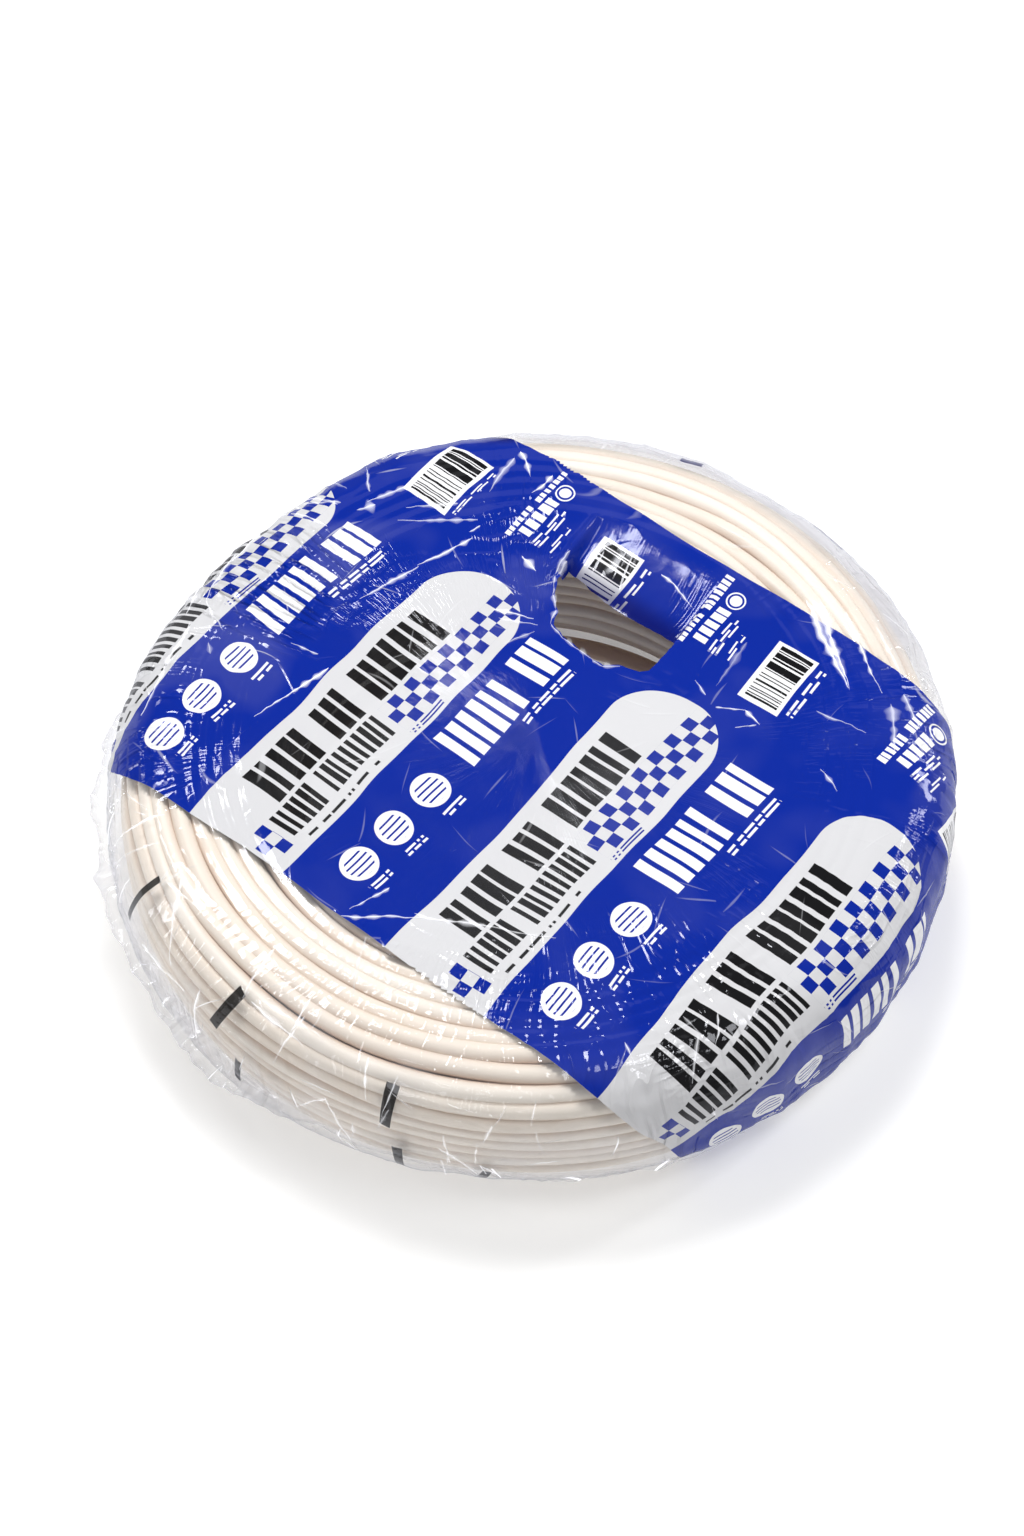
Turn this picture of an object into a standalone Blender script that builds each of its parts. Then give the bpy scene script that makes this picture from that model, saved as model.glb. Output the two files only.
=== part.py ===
"""A coil of round electrical cable lying flat in its clear shrink film.

The cable is one turned solid with its bore, ridged where its turns lie side by side.
The film is one thin closed skin around it. It lies on the coil's flats, stands a little
off its wall and spans the bore above and below. The upper skin has the torn opening that
the cable is drawn through.
Metres, +Z up. The origin is at the middle of the face that the coil lies on.
"""

from math import atan2, ceil, cos, pi, radians, sin, sqrt

import bpy

# Cable and coil
COIL_DIAMETER = 0.388
BORE_DIAMETER = 0.232
COIL_HEIGHT = 0.084
CABLE_DIAMETER = 0.0088
GROOVE_DEPTH = 0.0022
OUTER_SHOULDER = 0.030
INNER_SHOULDER = 0.018
POINTS_PER_TURN = 3

# Film
FILM_THICKNESS = 0.0008
FILM_CLEARANCE = 0.0003
FILM_SLACK = 0.006
FILM_SHOULDER = 0.024
SKIN_DIP = 0.004
BASE_DISH = 0.003

# Opening in the upper skin, lying along the printed web
OPENING_LENGTH = 0.064
OPENING_WIDTH = 0.033
OPENING_X = 0.033
OPENING_Y = 0.068
WEB_ANGLE = radians(-37.4)
OPENING_SQUARENESS = 4.0

# Facets
STEPS_AROUND = 48
SHOULDER_STEPS = 5
SKIN_STEPS = 4

# Worked out from the sizes above
COIL_RADIUS = COIL_DIAMETER / 2
BORE_RADIUS = BORE_DIAMETER / 2
CABLE_RADIUS = CABLE_DIAMETER / 2
COIL_BASE = FILM_THICKNESS + FILM_CLEARANCE
COIL_TOP = COIL_BASE + COIL_HEIGHT


def clear_scene():
    for thing in list(bpy.data.objects):
        bpy.data.objects.remove(thing, do_unlink=True)


def plastic(name, colour, roughness, alpha=1.0):
    material = bpy.data.materials.new(name)
    material.use_nodes = True
    shader = material.node_tree.nodes["Principled BSDF"]
    shader.inputs["Base Color"].default_value = (*colour, 1.0)
    shader.inputs["Roughness"].default_value = roughness
    shader.inputs["Metallic"].default_value = 0.0
    shader.inputs["Alpha"].default_value = alpha
    return material


def solid(name, vertices, faces, material):
    mesh = bpy.data.meshes.new(name)
    mesh.from_pydata(vertices, [], faces)
    mesh.update()
    mesh.shade_smooth()
    mesh.set_sharp_from_angle(angle=radians(40))
    mesh.materials.append(material)
    thing = bpy.data.objects.new(name, mesh)
    bpy.context.scene.collection.objects.link(thing)
    return thing


def section_pieces():
    """The coil's section as straights and quarter rounds, from the outer wall's foot upwards."""
    bottom, top = COIL_BASE, COIL_TOP
    outer, inner = OUTER_SHOULDER, INNER_SHOULDER
    corners = [
        (COIL_RADIUS - outer, top - outer, outer, 0.0),
        (BORE_RADIUS + inner, top - inner, inner, pi / 2),
        (BORE_RADIUS + inner, bottom + inner, inner, pi),
        (COIL_RADIUS - outer, bottom + outer, outer, 3 * pi / 2),
    ]
    straights = [
        (COIL_RADIUS, bottom + outer, 0.0, COIL_HEIGHT - 2 * outer),
        (COIL_RADIUS - outer, top, pi / 2, COIL_RADIUS - BORE_RADIUS - outer - inner),
        (BORE_RADIUS, top - inner, pi, COIL_HEIGHT - 2 * inner),
        (BORE_RADIUS + inner, bottom, 3 * pi / 2, COIL_RADIUS - BORE_RADIUS - outer - inner),
    ]
    return list(zip(straights, corners))


def section_length():
    return sum(straight[3] + corner[2] * pi / 2 for straight, corner in section_pieces())


def section_point(distance):
    """The place on the section's outline at a distance along it, and the way out of it there."""
    for straight, corner in section_pieces():
        radius, height, facing, length = straight
        if distance <= length:
            along = facing + pi / 2
            place = (radius + cos(along) * distance, height + sin(along) * distance)
            return place, (cos(facing), sin(facing))
        distance -= length
        centre_r, centre_z, round_radius, begins = corner
        arc = round_radius * pi / 2
        if distance <= arc:
            angle = begins + distance / round_radius
            out = (cos(angle), sin(angle))
            return (centre_r + out[0] * round_radius, centre_z + out[1] * round_radius), out
        distance -= arc
    return section_point(0.0)


def turn_outline():
    """The outline with its ridges: each turn of cable shows as the crown of a round."""
    turns = ceil(section_length() / CABLE_DIAMETER)
    pitch = section_length() / turns
    outline = []
    for step in range(turns * POINTS_PER_TURN):
        (radius, height), out = section_point(step * pitch / POINTS_PER_TURN)
        from_crown = (step % POINTS_PER_TURN / POINTS_PER_TURN - 0.5) * CABLE_DIAMETER
        fall = CABLE_RADIUS - sqrt(max(CABLE_RADIUS**2 - from_crown**2, 0.0))
        sink = min(fall, GROOVE_DEPTH)
        outline.append((radius - out[0] * sink, height - out[1] * sink))
    return outline


def around(step):
    angle = 2 * pi * step / STEPS_AROUND
    return cos(angle), sin(angle)


def ring_faces(lower, upper):
    """Quads between two rings, given by their first vertices. They face the ring's left hand."""
    faces = []
    for step in range(STEPS_AROUND):
        after = (step + 1) % STEPS_AROUND
        faces.append((lower + step, lower + after, upper + after, upper + step))
    return faces


def cable_coil():
    outline = turn_outline()
    vertices, faces = [], []
    for radius, height in outline:
        vertices += [(radius * x, radius * y, height) for x, y in map(around, range(STEPS_AROUND))]
    for row in range(len(outline)):
        after = (row + 1) % len(outline)
        faces += ring_faces(row * STEPS_AROUND, after * STEPS_AROUND)
    return solid("cable_coil", vertices, faces, plastic("cable_jacket", (0.86, 0.80, 0.72), 0.42))


def opening_point(direction):
    """Where a ray from the opening's middle crosses the opening's rounded outline."""
    turned = direction - WEB_ANGLE
    across_length = abs(cos(turned)) / (OPENING_LENGTH / 2)
    across_width = abs(sin(turned)) / (OPENING_WIDTH / 2)
    power = OPENING_SQUARENESS
    reach = (across_length**power + across_width**power) ** (-1 / power)
    return OPENING_X + reach * cos(direction), OPENING_Y + reach * sin(direction)


def upper_skin_ring(radius, height, share):
    """A ring of the upper skin, at a share of the way from its rim to the opening."""
    ring = []
    for x, y in map(around, range(STEPS_AROUND)):
        rim = (radius * x, radius * y)
        lip = opening_point(atan2(rim[1] - OPENING_Y, rim[0] - OPENING_X))
        place = [rim[axis] + (lip[axis] - rim[axis]) * share for axis in (0, 1)]
        ring.append((place[0], place[1], height - SKIN_DIP * share**2))
    return ring


def wall_outline(grow):
    """The film over the coil, from its lower flat, up the wall and on to its upper flat."""
    inner_edge = BORE_RADIUS + INNER_SHOULDER
    flat_edge = COIL_RADIUS + FILM_SLACK - FILM_SHOULDER
    bottom = COIL_BASE - FILM_CLEARANCE
    top = COIL_TOP + FILM_CLEARANCE
    round_radius = FILM_SHOULDER + grow
    outline = [(inner_edge, bottom - grow)]
    for centre_z, begins in ((bottom + FILM_SHOULDER, -pi / 2), (top - FILM_SHOULDER, 0.0)):
        for step in range(SHOULDER_STEPS + 1):
            angle = begins + pi / 2 * step / SHOULDER_STEPS
            outline.append((flat_edge + round_radius * cos(angle), centre_z + round_radius * sin(angle)))
    outline.append((inner_edge, top + grow))
    return outline


def film_rings(grow):
    """One face of the film, ring by ring, from the lower skin's middle to the opening's lip."""
    rings = []
    inner_edge = BORE_RADIUS + INNER_SHOULDER
    for step in range(1, SKIN_STEPS):
        share = step / SKIN_STEPS
        height = lower_skin_height(share) - grow
        rings.append([(inner_edge * share * x, inner_edge * share * y, height)
                      for x, y in map(around, range(STEPS_AROUND))])
    for radius, height in wall_outline(grow):
        rings.append([(radius * x, radius * y, height) for x, y in map(around, range(STEPS_AROUND))])
    for step in range(1, SKIN_STEPS + 1):
        rings.append(upper_skin_ring(inner_edge, COIL_TOP + FILM_CLEARANCE + grow, step / SKIN_STEPS))
    return rings


def lower_skin_height(share):
    """The lower skin's upper face, at a share of the way from the middle to the coil's flat."""
    return COIL_BASE - FILM_CLEARANCE + BASE_DISH * cos(share * pi / 2)


def shrink_film():
    vertices, faces = [], []
    lips = []
    for grow in (FILM_THICKNESS, 0.0):
        middle = len(vertices)
        vertices.append((0.0, 0.0, lower_skin_height(0.0) - grow))
        starts = []
        for ring in film_rings(grow):
            starts.append(len(vertices))
            vertices += ring
        sheet = [(middle, starts[0] + (step + 1) % STEPS_AROUND, starts[0] + step)
                 for step in range(STEPS_AROUND)]
        for lower, upper in zip(starts, starts[1:]):
            sheet += ring_faces(lower, upper)
        faces += sheet if grow else [face[::-1] for face in sheet]
        lips.append(starts[-1])
    faces += ring_faces(lips[0], lips[1])
    return solid("shrink_film", vertices, faces, plastic("clear_film", (0.55, 0.62, 0.80), 0.15, 0.4))


clear_scene()
cable_coil()
shrink_film()
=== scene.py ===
"""A coil of round electrical cable in its printed shrink film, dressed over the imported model.

The winding is one strand that runs round and round the coil's section, turn beside turn.
The film is one sheet from the underside up over the winding to the torn opening on top.
Its print is drawn by nodes in the film's own flat measure: along the web, and across it.
Metres, +Z up, in the frame's own place.
"""

from math import cos, pi, radians, sin

import bpy
import numpy as np
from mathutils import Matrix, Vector, noise
from mathutils.bvhtree import BVHTree


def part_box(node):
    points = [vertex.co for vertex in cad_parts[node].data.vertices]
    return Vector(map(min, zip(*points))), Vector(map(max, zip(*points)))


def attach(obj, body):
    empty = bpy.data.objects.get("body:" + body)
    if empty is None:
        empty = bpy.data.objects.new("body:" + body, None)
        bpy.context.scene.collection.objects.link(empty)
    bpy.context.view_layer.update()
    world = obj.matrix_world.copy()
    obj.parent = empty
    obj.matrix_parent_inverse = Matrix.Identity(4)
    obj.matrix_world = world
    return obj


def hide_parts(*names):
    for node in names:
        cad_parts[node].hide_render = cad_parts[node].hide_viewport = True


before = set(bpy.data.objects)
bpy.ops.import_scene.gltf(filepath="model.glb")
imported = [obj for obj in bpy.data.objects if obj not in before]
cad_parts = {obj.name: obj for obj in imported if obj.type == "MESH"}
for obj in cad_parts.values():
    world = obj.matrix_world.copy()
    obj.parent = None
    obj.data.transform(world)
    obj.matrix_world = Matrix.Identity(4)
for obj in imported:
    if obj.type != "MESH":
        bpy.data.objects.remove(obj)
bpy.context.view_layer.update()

coil_low, coil_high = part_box("cable_coil")
film_low, film_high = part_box("shrink_film")

# The winding, as in the frame
COIL_RADIUS = coil_high[0]
COIL_BASE = coil_low[2]
COIL_TOP = coil_high[2]
BORE_RADIUS = 0.116
OUTER_SHOULDER = 0.030
INNER_SHOULDER = 0.018
CABLE_RADIUS = 0.0046
TURNS = 33
WANDER = 0.34
CROSSING = 0.30
CROSSING_LENGTH = 0.16
SEED = 1.7

# The film
FILM_LIFT = 0.0007
WEB_ANGLE = radians(-37.4)
FILM_STEPS = 560
RIM_RADIUS = 0.134
LIP_MIDDLE = (-0.0151, 0.0741)
LIP = [
    (-0.0490, 0.0925), (-0.0474, 0.0823), (-0.0422, 0.0724), (-0.0357, 0.0669), (-0.0325, 0.0591),
    (-0.0230, 0.0561), (-0.0056, 0.0547), (0.0000, 0.0548), (0.0060, 0.0598), (0.0158, 0.0621),
    (0.0193, 0.0659), (0.0195, 0.0829), (0.0181, 0.0908), (0.0109, 0.0908), (-0.0166, 0.0893),
    (-0.0343, 0.0909), (-0.0429, 0.0930),
]
FLAP_SIDES = (-0.0515, 0.0190)
FLAP_DEPTH = 0.0085
DRUM_SAG = 0.0030
OFF_PRINT = 9.0
BASE_DISH = 0.003
FAR_RIGHT = radians(55)

# Patches of the film: name, scale, seed, where they begin, how sharply
PATCHES = (
    ("gathered", 11.0, 2.0, -0.03, 4.0),
    ("pulled", 15.0, 7.0, -0.02, 4.0),
    # milky haze of the film, which on the blue print is also a painted sheen
    ("milkiness_and_sheen", 30.0, 9.0, 0.05, 2.6),
)

# Where the whole coil is pressed in from a true round
PRESSED_DEPTH = 0.0052
PRESSED_AT = 137.0
PRESSED_WIDTH = 19.0
PRESSED_FROM = 0.135

# The photograph's view
PHOTO_HEIGHT = 1536
PHOTO_FOCUS = 2989.0
SENSOR = 36.0
ELEVATION = radians(56.5)
CAMERA_DISTANCE = 1.42
OFF_CENTRE = 19.0

# Studio lights: name, place, size, power, whether it lights, whether it is reflected
LIGHTS = [
    ("key", (-0.14, 0.72, 1.75), (0.5, 0.4), 17.8, True, False),
    ("key_sheen", (-0.56, 0.64, 1.7), (0.5, 0.36), 15.0, False, True),
    ("left_back_strip", (-0.85, 0.70, 1.35), (0.15, 0.7), 3.0, True, True),
    ("back_sheet", (0.1, 1.65, 1.4), (1.5, 0.7), 1.8, True, True),
    ("overhead", (0.55, -0.20, 1.5), (0.6, 0.4), 7.2, True, True),
    ("right_strip", (1.15, 0.55, 0.85), (0.12, 1.0), 6.0, True, True),
    ("left_strip", (-1.25, -0.1, 0.65), (0.10, 1.0), 3.4, True, True),
    ("front", (-0.5, -1.3, 1.0), (0.6, 0.3), 2.4, True, True),
]
WORLD_STRENGTH = 0.21

TAU = 2 * pi


class Field:
    """A value that changes over a surface, as a socket. Arithmetic on it adds maths nodes."""

    def __init__(self, tree, socket):
        self.tree = tree
        self.socket = socket

    def maths(self, operation, *others):
        node = self.tree.nodes.new("ShaderNodeMath")
        node.operation = operation
        for slot, value in zip(node.inputs, (self, *others)):
            if isinstance(value, Field):
                self.tree.links.new(value.socket, slot)
            else:
                slot.default_value = value
        return Field(self.tree, node.outputs[0])

    def __add__(self, other):
        return self.maths("ADD", other)

    def __sub__(self, other):
        return self.maths("SUBTRACT", other)

    def __mul__(self, other):
        return self.maths("MULTIPLY", other)

    def __truediv__(self, other):
        return self.maths("DIVIDE", other)

    def clamped(self):
        return self.scaled(1.0, 0.0, clamp=True)

    def either(self, other):
        return self.maths("MAXIMUM", other)

    def both(self, other):
        return self.maths("MINIMUM", other)

    def scaled(self, factor, offset, clamp=False):
        """Factor times the value plus an offset, in one node."""
        field = self.maths("MULTIPLY_ADD", factor, offset)
        field.socket.node.use_clamp = clamp
        return field

    def inverse(self):
        return self.scaled(-1.0, 1.0)

    def size(self):
        return self.maths("ABSOLUTE")

    def floor(self):
        return self.maths("FLOOR")

    def past(self, edge, softness=0.12):
        """1 where the value is past an edge, with a thin soft step."""
        if isinstance(edge, Field):
            return (self - edge).scaled(1 / softness, 0.5, clamp=True)
        return self.scaled(1 / softness, 0.5 - edge / softness, clamp=True)

    def between(self, low, high, softness=0.12):
        if isinstance(high, Field):
            return self.past(low, softness).both(self.past(high, softness).inverse())
        from_middle = (self - (low + high) / 2).size()
        return from_middle.scaled(-1 / softness, (high - low) / 2 / softness + 0.5, clamp=True)

    def wrapped(self, low, high):
        return self.maths("WRAP", high, low)

    def hashed(self, seed):
        """A random number from 0 to 1 for each whole value."""
        node = self.tree.nodes.new("ShaderNodeTexWhiteNoise")
        node.noise_dimensions = "1D"
        self.tree.links.new((self + seed).socket, node.inputs["W"])
        return Field(self.tree, node.outputs["Value"])


def node_group(name, inputs, outputs):
    """A new shader group with its sockets, and its inputs as fields."""
    group = bpy.data.node_groups.new(name, "ShaderNodeTree")
    for title, kind in inputs:
        group.interface.new_socket(title, in_out="INPUT", socket_type="NodeSocket" + kind)
    for title, kind in outputs:
        group.interface.new_socket(title, in_out="OUTPUT", socket_type="NodeSocket" + kind)
    entry = group.nodes.new("NodeGroupInput")
    leave = group.nodes.new("NodeGroupOutput")
    fields = [Field(group, entry.outputs[title]) for title, kind in inputs]
    return group, fields, leave


def blend_colours(tree, share, first, second):
    """A colour between two, where share says how much of the second."""
    node = tree.nodes.new("ShaderNodeMix")
    node.data_type = "RGBA"
    tree.links.new(share.socket, node.inputs[0])
    for slot, colour in zip((node.inputs[6], node.inputs[7]), (first, second)):
        if isinstance(colour, tuple):
            slot.default_value = (*colour, 1.0)
        else:
            tree.links.new(colour, slot)
    return node.outputs[2]


def noise_field(tree, vector, scale, detail=2.0, roughness=0.5):
    node = tree.nodes.new("ShaderNodeTexNoise")
    node.inputs["Scale"].default_value = scale
    node.inputs["Detail"].default_value = detail
    node.inputs["Roughness"].default_value = roughness
    tree.links.new(vector, node.inputs["Vector"])
    return Field(tree, node.outputs[0])


def vector_maths(tree, operation, *values):
    """Arithmetic on vectors, where each value is a socket or a fixed vector."""
    node = tree.nodes.new("ShaderNodeVectorMath")
    node.operation = operation
    for slot, value in zip(node.inputs, values):
        if isinstance(value, tuple):
            slot.default_value = value
        else:
            tree.links.new(value, slot)
    return node


def any_of(fields):
    """1 where any one of the fields is."""
    whole = fields[0]
    for field in fields[1:]:
        whole = whole.either(field)
    return whole


# Print

# All in millimetres of the flat film. The lane repeats along the web.
PERIOD = 116.6
PANEL_START = -97.6
LANE_LOW = -128.9
LANE_HIGH = 137.1
LANE_END = 292.0
CLEAR_FROM = 296.0
PANEL_WIDTH = 55.1
PANEL_TOP = 62.6
PANEL_CORNER = 25.3
CHECK = 6.15
CHECKED = (30.6, 30.6 + 3 * CHECK)
BAR_CODE_PITCH = 0.62
SPOTS_ALONG = 78.5
SPOTS_ACROSS = (-50.5, -77.6, -102.8)
SIGN_ALONG = 10.1
SIGN_ACROSS = 123.0

# Rows of plain bars: span along, span across, pitch, seed, share inked, bars left out
BLACK_BARS = [
    ((6.7, 28.3), (-100.8, 24.9), 7.4, 3.0, 0.66, (5, 9)),
    ((30.6, 46.0), (-110.5, -34.1), 4.5, 11.0, 0.62, (6,)),
]
WHITE_BARS = [
    ((61.8, 85.4), (-28.3, 49.1), 7.74, 29.0, 0.66, (6,)),
    ((-2.6, 2.6), (88.0, 134.0), 3.3, 43.0, 0.7, (6,)),
    ((PERIOD - 2.6, PERIOD + 2.6), (88.0, 134.0), 3.3, 43.0, 0.7, (6,)),
    ((5.2, 12.2), (93.0, 117.5), 4.9, 47.0, 0.74, ()),
]

# Blocks of thin broken lines: span along, span across, pitch, seed
BLACK_LINES = [((49.6, 52.6), (-105.7, -53.4), 3.0, 5.0)]
BLUE_LINES = [((50.2, 53.6), (-31.0, -6.0), 1.7, 21.0)]
WHITE_LINES = [
    ((88.0, 93.0), (5.5, 42.3), 2.5, 31.0),
    ((14.8, 20.6), (91.0, 114.0), 1.9, 53.0),
    ((23.6, 26.8), (92.0, 108.0), 1.6, 57.0),
    ((65.8, 70.6), (82.0, 113.0), 2.4, 59.0),
]
WHITE_LINES += [((90.0, 94.6), (centre - 6.5, centre + 6.5), 2.3, 37.0) for centre in SPOTS_ACROSS]

# Plain bars on the clear film: middle along, middle across, slant in degrees, length, width
MARKS = [
    (-89.8, -173.1, 62.0, 25.0, 4.0), (-22.0, -193.0, 66.0, 23.0, 5.6), (-9.0, -221.0, 84.0, 17.0, 4.4),
    (66.0, -186.6, 108.0, 21.0, 5.8), (84.4, -219.8, 112.0, 22.0, 5.6), (125.1, -204.6, 100.0, 15.0, 4.6),
    (-52.0, 181.0, 17.4, 11.0, 4.0), (37.3, 190.0, -11.0, 20.0, 4.0),
]

# Long folds, drawn as painted highlights: from along and across, to along and across, width, and how white
LONG_FOLDS = [
    (55, 143, 100, 113, 2.6, 1.0), (61, 146, 101, 113, 2.2, 0.9), (58, 145, 100, 113, 5.5, 0.35),
    (74, 149, 114, 120, 1.4, 0.8), (90, 151, 116, 134, 1.2, 0.5), (121, 118, 138, 97, 3.4, 0.45),
    (122, 126, 138, 115, 2.0, 0.5), (-10, 115, 1, 113, 1.3, 0.8), (-1, 114, 13, 110, 1.2, 0.7),
    (57, 67, 69, 74, 1.2, 0.8), (69, 74, 79, 71, 1.4, 0.9), (78, 70, 71, 63, 1.0, 0.7),
    (96, 93, 121, 97, 1.0, 0.5), (116, 67, 129, 62, 1.4, 0.6), (47, 106, 50, 77, 2.0, 0.25),
    (-95, 75, -104, 45, 1.6, 0.8), (-104, 45, -113, 12, 1.6, 0.7), (-96, 83, -98, 77, 1.2, 0.8),
    (-99, -28, -108, -71, 1.8, 0.9), (-108, -25, -122, -28, 1.0, 0.6), (-144, 61, -149, 53, 4.0, 0.6),
    (-139, 80, -148, 60, 2.0, 0.6), (-113, 87, -131, 69, 1.6, 0.5), (-99, 85, -129, 60, 1.5, 0.5),
    (-168, -48, -152, -101, 2.0, 0.6), (-187, -22, -176, -43, 1.6, 0.6), (-184, 0, -173, -32, 2.5, 0.7),
    (-184, 18, -181, -5, 2.0, 0.7), (-52, 98, -50, 83, 1.2, 0.5), (-69, 81, -58, 79, 2.5, 0.9),
    (-60, 48, -42, 56, 1.6, 0.7), (-55, 46, -38, 54, 1.0, 0.5), (-37, 50, -44, 35, 1.0, 0.4),
    (49, 70, 40, 74, 1.0, 0.6), (-109, 131, -95, 122, 2.5, 0.8), (-109, 126, -106, 102, 2.0, 0.5),
    (-87, 129, -88, 114, 2.0, 0.8), (-20, -157, -16, -185, 1.4, 0.6), (-12, -185, 19, -186, 1.6, 0.6),
    (-9, -182, 27, -179, 1.2, 0.5), (38, -202, 57, -227, 1.0, 0.6), (38, -202, 25, -222, 1.0, 0.6),
    (-76, -157, -57, -190, 2.0, 0.5), (-79, -189, -47, -198, 1.4, 0.5), (121, -156, 116, -145, 1.0, 0.5),
    (8, -130, 24, -161, 1.0, 0.4), (95, -193, 122, -203, 1.6, 0.5), (-7, -129, 22, -107, 1.2, 0.7),
    (18, -108, 75, -79, 1.4, 0.6), (0, -104, -6, -124, 1.6, 0.7),
]
FOLD_STEPS = 44
FOLD_SIDES = ((-1.0, 0.0), (-0.3, 0.45), (0.0, 1.0), (0.3, 0.45), (1.0, 0.0))
LIP_FOLDS = 8
STREWN_FOLDS = 64
FOLD_LIFT = 0.0002
FOLD_RISE = 0.0005

# Colours
# painted highlight: the white of the long folds' glowing crests
FOLD_HIGHLIGHT_WHITE = (0.88, 0.89, 0.94)
# the film's real milky haze, and the white of the painted highlights along its folds
HAZE_AND_HIGHLIGHT_WHITE = (0.90, 0.90, 0.93)
# painted shade: grey for the clear film behind the far right turns and along the seam's outer edge
PAINTED_SHADE_GREY = (0.42, 0.42, 0.50)
# painted highlight: the glow of the clear film's fold lines
FOLD_GLINT = (0.50, 0.50, 0.52)
GLOSS_TINT = (0.74, 0.75, 0.80)
# painted shade: the deep navy ink of the flap that dips into the bore
PAINTED_SHADE_INK = (0.0, 0.001, 0.10)
ROYAL_BLUE = (0.001, 0.019, 0.30)
PANEL_WHITE = (0.68, 0.68, 0.70)
PRINT_WHITE = (0.86, 0.86, 0.88)
PRINT_BLACK = (0.006, 0.006, 0.007)


def bar_row(along, across, along_span, across_span, pitch, seed, fill, gaps):
    """A row of plain upright bars of uneven width, with a few bars left out."""
    place = (across - across_span[0]) / pitch
    cell = place.floor()
    inside = place - cell
    width = cell.hashed(seed) * 0.3 + (fill - 0.15)
    bars = inside.between(0.08, width + 0.08, 0.02)
    for gap in gaps:
        bars = bars.both(cell.between(gap - 0.5, gap + 0.5, 0.01).inverse())
    return bars.both(along.between(*along_span)).both(across.between(*across_span))


def fine_lines(along, across, along_span, across_span, pitch, seed):
    """A block of thin broken lines, one under another, as small print seen from afar."""
    line = (along - along_span[0]) / pitch
    row = line.floor()
    on_line = (line - row).between(0.2, 0.72, 0.1)
    dash = (across / 1.35) + row.hashed(seed) * 9.0
    broken = dash.floor().hashed(seed + 3.1).past(0.24, 0.01)
    whole = along.between(*along_span).both(across.between(*across_span))
    return on_line.both(broken).both(whole)


def disc(along, across, centre_along, centre_across, radius):
    square = (along - centre_along).maths("POWER", 2.0) + (across - centre_across).maths("POWER", 2.0)
    return square.maths("SQRT").past(radius).inverse()


def checks(along, across, along_span, across_span):
    """Checks of one size, in step with the panel."""
    column = ((along - along_span[0]) / CHECK).floor()
    row = ((across - across_span[0]) / CHECK).floor()
    odd = (column + row).maths("FLOORED_MODULO", 2.0).past(0.5, 0.01)
    return odd.both(along.between(*along_span)).both(across.between(*across_span))


def panel_shape(along, across):
    """The pale panel: square at its foot, round at its head."""
    half = PANEL_WIDTH / 2
    out_along = ((along - half).size() - (half - PANEL_CORNER)).either(0.0)
    out_across = (across - (PANEL_TOP - PANEL_CORNER)).either(0.0)
    reach = (out_along.maths("POWER", 2.0) + out_across.maths("POWER", 2.0)).maths("SQRT")
    return reach.past(PANEL_CORNER).inverse()


def bar_code(along, across):
    """The plain bar panel: its ground and its bars."""
    ground = along.between(40.4, 63.4).both(across.between(78.6, 116.2))
    place = (across - 80.6) / BAR_CODE_PITCH
    bars = place.floor().hashed(41.0).past(0.46, 0.01)
    inner = along.between(43.0, 61.4).both(across.between(80.6, 114.6))
    return ground, bars.both(inner)


def striped_spots(along, across):
    """A row of striped discs beside the panel."""
    stripes = ((along - SPOTS_ALONG) / 3.0).maths("FRACT").between(0.3, 0.62, 0.05)
    spots = []
    for centre in SPOTS_ACROSS:
        core = disc(along, across, SPOTS_ALONG, centre, 7.0)
        spots.append(disc(along, across, SPOTS_ALONG, centre, 9.2).both(core.both(stripes).inverse()))
    return any_of(spots)


def ringed_dot(along, across):
    """A plain dot in a thin ring."""
    outer, inner, dot = [disc(along, across, SIGN_ALONG, SIGN_ACROSS, radius) for radius in (5.0, 4.2, 3.1)]
    return outer.both(inner.inverse()).either(dot)


def lane_print():
    """Group: the printed lane's colour, how far it covers the film, and where its ground is pale."""
    group, (along, across), leave = node_group(
        "printed_lane",
        [("Along", "Float"), ("Across", "Float")],
        [("Colour", "Color"), ("Cover", "Float"), ("Pale", "Float")],
    )
    step = along.wrapped(PANEL_START, PANEL_START + PERIOD) - PANEL_START
    lane = across.between(LANE_LOW, LANE_HIGH).both(along.between(-LANE_END, LANE_END))
    panel = panel_shape(step, across)
    ground, bars = bar_code(step, across)

    def bar_rows(rows):
        return [bar_row(step, across, *row) for row in rows]

    def line_blocks(blocks):
        return [fine_lines(step, across, *block) for block in blocks]

    checked = [checks(step, across, CHECKED, span) for span in ((-31.2, 60.9), (-126.5, -114.0))]
    black = any_of(bar_rows(BLACK_BARS) + line_blocks(BLACK_LINES))
    blue = any_of(checked + line_blocks(BLUE_LINES))
    signs = [striped_spots(step, across), ringed_dot(step, across)]
    white = any_of(bar_rows(WHITE_BARS) + line_blocks(WHITE_LINES) + signs)

    on_panel = blend_colours(group, blue, PANEL_WHITE, ROYAL_BLUE)
    on_panel = blend_colours(group, black, on_panel, PRINT_BLACK)
    on_blue = blend_colours(group, white, ROYAL_BLUE, PRINT_WHITE)
    colour = blend_colours(group, panel, on_blue, on_panel)
    colour = blend_colours(group, ground, colour, PRINT_WHITE)
    colour = blend_colours(group, bars, colour, PRINT_BLACK)
    colour = blend_colours(group, lane, HAZE_AND_HIGHLIGHT_WHITE, colour)
    group.links.new(colour, leave.inputs["Colour"])
    group.links.new(lane.socket, leave.inputs["Cover"])
    group.links.new(panel.both(lane).socket, leave.inputs["Pale"])
    return group


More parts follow.
